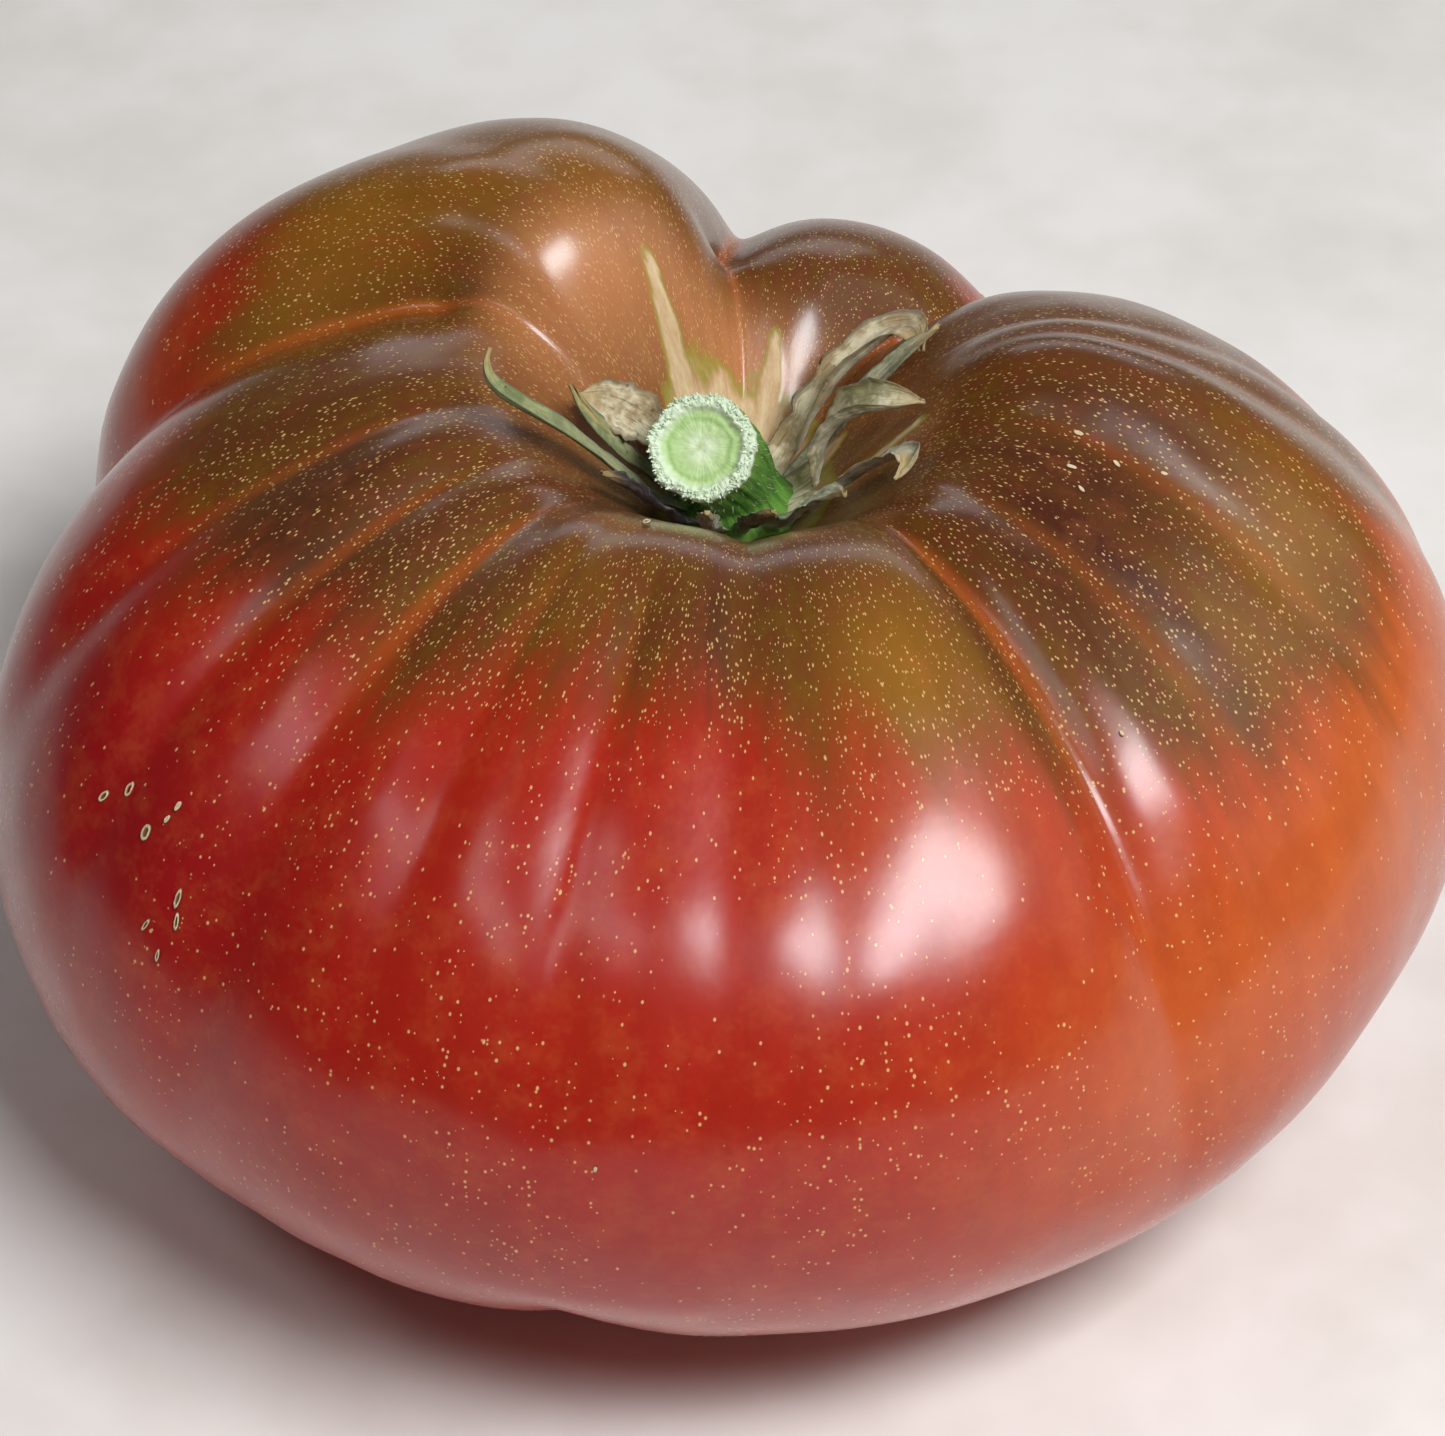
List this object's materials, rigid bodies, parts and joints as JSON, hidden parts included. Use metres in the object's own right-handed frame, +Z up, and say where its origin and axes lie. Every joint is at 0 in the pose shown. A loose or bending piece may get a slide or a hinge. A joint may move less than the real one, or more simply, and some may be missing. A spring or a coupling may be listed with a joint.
{
  "type": "tomato",
  "caption": "Ribbed, lobed ripe tomato with a cut green stem and curled dry sepals in its stem cavity, resting on a small flat spot",
  "frame": {"origin": "on the resting plane at the flat spot under the fruit, below the middle of the footprint box", "axes": "+Z up. +X is the fruit's widest direction and to the right as seen from the front (-Y), the side that the cut stem leans towards. The height is the smallest extent."},
  "size_m": [0.1168, 0.109, 0.0697],
  "materials": {
    "skin": null,
    "stem": null,
    "sepal": null
  },
  "bodies": {
    "root": {"fruit": "skin", "stem": "stem", "sepal_front_right": "sepal", "sepal_right_flap": "sepal", "sepal_right_folded": "sepal", "sepal_right_strip": "sepal", "sepal_right_tall": "sepal", "sepal_right_broad": "sepal", "sepal_back_left": "sepal", "sepal_left_fork": "sepal", "sepal_left_long": "sepal", "sepal_left_dark": "sepal", "sepal_front_left": "sepal"}
  },
  "joints": []
}
